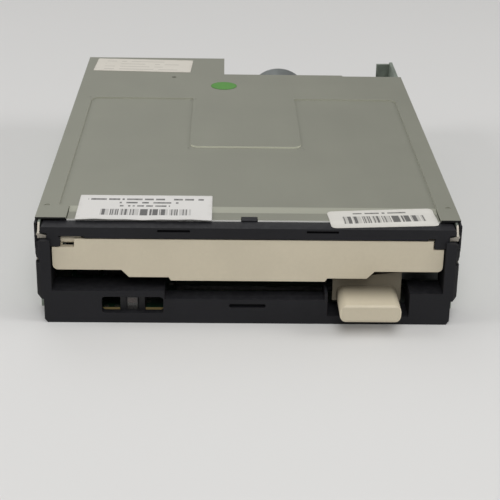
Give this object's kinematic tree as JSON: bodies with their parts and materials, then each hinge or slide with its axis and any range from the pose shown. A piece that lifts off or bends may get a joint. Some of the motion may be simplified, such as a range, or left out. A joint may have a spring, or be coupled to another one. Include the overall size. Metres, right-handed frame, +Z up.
{
  "type": "floppy disk drive",
  "caption": "Slim disk drive with a pressed steel cover, black bezel, hinged dust door, long eject button and a working eject, spindle and head mechanism.",
  "frame": {"origin": "middle of the four bottom mounting holes, on the underside", "axes": "+X to the right seen from the front, +Y from the bezel to the rear, +Z up through the cover"},
  "size_m": [0.1016, 0.1545, 0.0254],
  "materials": {
    "cover_steel": "olive-grey plated and lacquered sheet, satin, worn at the edges",
    "tray_steel": "plated sheet steel, satin",
    "zinc_steel": "bluish zinc plating",
    "bright_steel": "ground steel",
    "spring_wire": "drawn spring wire",
    "brass": "turned",
    "copper_wire": "lacquered winding wire",
    "black_plastic": "fine spark-eroded grain",
    "dark_plastic": "moulded",
    "cream_plastic": "aged cream moulding",
    "white_plastic": "moulded nylon",
    "carriage_plastic": "glass-filled moulding",
    "board": "green mask on golden laminate",
    "ribbon": "amber film with copper lines",
    "lamp": "grey translucent lamp body"
  },
  "bodies": {
    "base": {"chassis_tray": "tray_steel", "top_cover": "cover_steel", "front_bezel": "black_plastic", "motor_board": "board", "stator_core": "zinc_steel", "stator_coils": "copper_wire", "spindle_sleeve": "brass", "motor_screws": "zinc_steel", "main_board": "board", "signal_header": "dark_plastic", "signal_pins": "brass", "power_connector": "white_plastic", "power_pins": "zinc_steel", "controller_chips": "dark_plastic", "board_components": "dark_plastic", "board_screws": "zinc_steel", "stepper_can": "zinc_steel", "stepper_bracket": "zinc_steel", "stepper_screws": "zinc_steel", "guide_rods": "bright_steel", "rod_clamps": "carriage_plastic", "clamp_screws": "zinc_steel", "track_zero_sensor": "dark_plastic", "status_led": "lamp", "led_holder": "dark_plastic", "switch_bodies": "dark_plastic", "door_spring": "spring_wire", "slide_springs": "spring_wire", "motor_ribbon": "ribbon"},
    "dust_door": {"dust_door": "cream_plastic"},
    "eject_slide": {"eject_slide": "zinc_steel", "eject_button": "cream_plastic"},
    "disk_carrier": {"disk_carrier": "zinc_steel", "carrier_pins": "brass", "lever_pivot": "brass", "lever_spring": "spring_wire"},
    "eject_lever": {"eject_lever": "zinc_steel"},
    "spindle_rotor": {"rotor_yoke": "zinc_steel", "rotor_magnet": "dark_plastic", "hub_table": "bright_steel", "spindle_shaft": "bright_steel", "drive_pin": "brass"},
    "head_carriage": {"head_carriage": "carriage_plastic", "lower_head": "dark_plastic", "screw_follower": "cream_plastic", "arm_spring": "spring_wire", "head_ribbon": "ribbon"},
    "upper_arm": {"upper_arm": "carriage_plastic", "upper_head": "dark_plastic", "arm_hinge_pin": "bright_steel"},
    "lead_screw": {"lead_screw": "bright_steel"},
    "density_plunger": {"density_plunger": "cream_plastic"},
    "protect_plunger": {"protect_plunger": "cream_plastic"},
    "presence_plunger": {"presence_plunger": "cream_plastic"}
  },
  "joints": [
    {"name": "door_swing", "type": "hinge", "parent": "base", "child": "dust_door", "pos_m": [0, -0.063, 0.02085], "axis": [1, 0, 0], "range_deg": [0, 82], "stiffness_Nm_per_rad": 0.0002, "springref_deg": -57.3, "deforming": ["door_spring"]},
    {"name": "eject_slide", "type": "slide", "parent": "base", "child": "eject_slide", "axis": [0, -1, 0], "range_m": [0, 0.0065], "deforming": ["slide_springs"]},
    {"name": "carrier_drop", "type": "slide", "parent": "base", "child": "disk_carrier", "axis": [0, 0, -1], "range_m": [0, 0.0035]},
    {"name": "eject_lever_swing", "type": "hinge", "parent": "disk_carrier", "child": "eject_lever", "pos_m": [0.04, 0.019, 0.0162], "axis": [0, 0, -1], "range_deg": [0, 60], "deforming": ["lever_spring"]},
    {"name": "head_arm_lift", "type": "hinge", "parent": "head_carriage", "child": "upper_arm", "pos_m": [0, 0.0545, 0.0125], "axis": [1, 0, 0], "range_deg": [0, 12.2], "deforming": ["arm_spring"]},
    {"name": "spindle_spin", "type": "hinge", "parent": "base", "child": "spindle_rotor", "pos_m": [0, -0.01, 0.005], "axis": [0, 0, 1], "continuous": true},
    {"name": "head_travel", "type": "slide", "parent": "base", "child": "head_carriage", "axis": [0, -1, 0], "range_m": [0, 0.01481], "deforming": ["head_ribbon"]},
    {"name": "lead_screw_spin", "type": "hinge", "parent": "base", "child": "lead_screw", "pos_m": [0.012, 0.05, 0.0134], "axis": [0, -1, 0], "range_deg": [0, 1422]},
    {"name": "density_press", "type": "slide", "parent": "base", "child": "density_plunger", "axis": [0, 0, -1], "range_m": [0, 0.001], "stiffness_N_per_m": 200, "springref_m": -0.0005},
    {"name": "protect_press", "type": "slide", "parent": "base", "child": "protect_plunger", "axis": [0, 0, -1], "range_m": [0, 0.001], "stiffness_N_per_m": 200, "springref_m": -0.0005},
    {"name": "presence_press", "type": "slide", "parent": "base", "child": "presence_plunger", "axis": [0, 0, -1], "range_m": [0, 0.001], "stiffness_N_per_m": 200, "springref_m": -0.0005}
  ],
  "couplings": [
    {"joint": "carrier_drop", "follows": "eject_slide", "ratio": 0.53846},
    {"joint": "eject_lever_swing", "follows": "eject_slide", "rad_per_m": 161.11},
    {"joint": "head_arm_lift", "follows": "eject_slide", "rad_per_m": 32.758},
    {"joint": "lead_screw_spin", "follows": "head_travel", "rad_per_m": 1675.5}
  ]
}
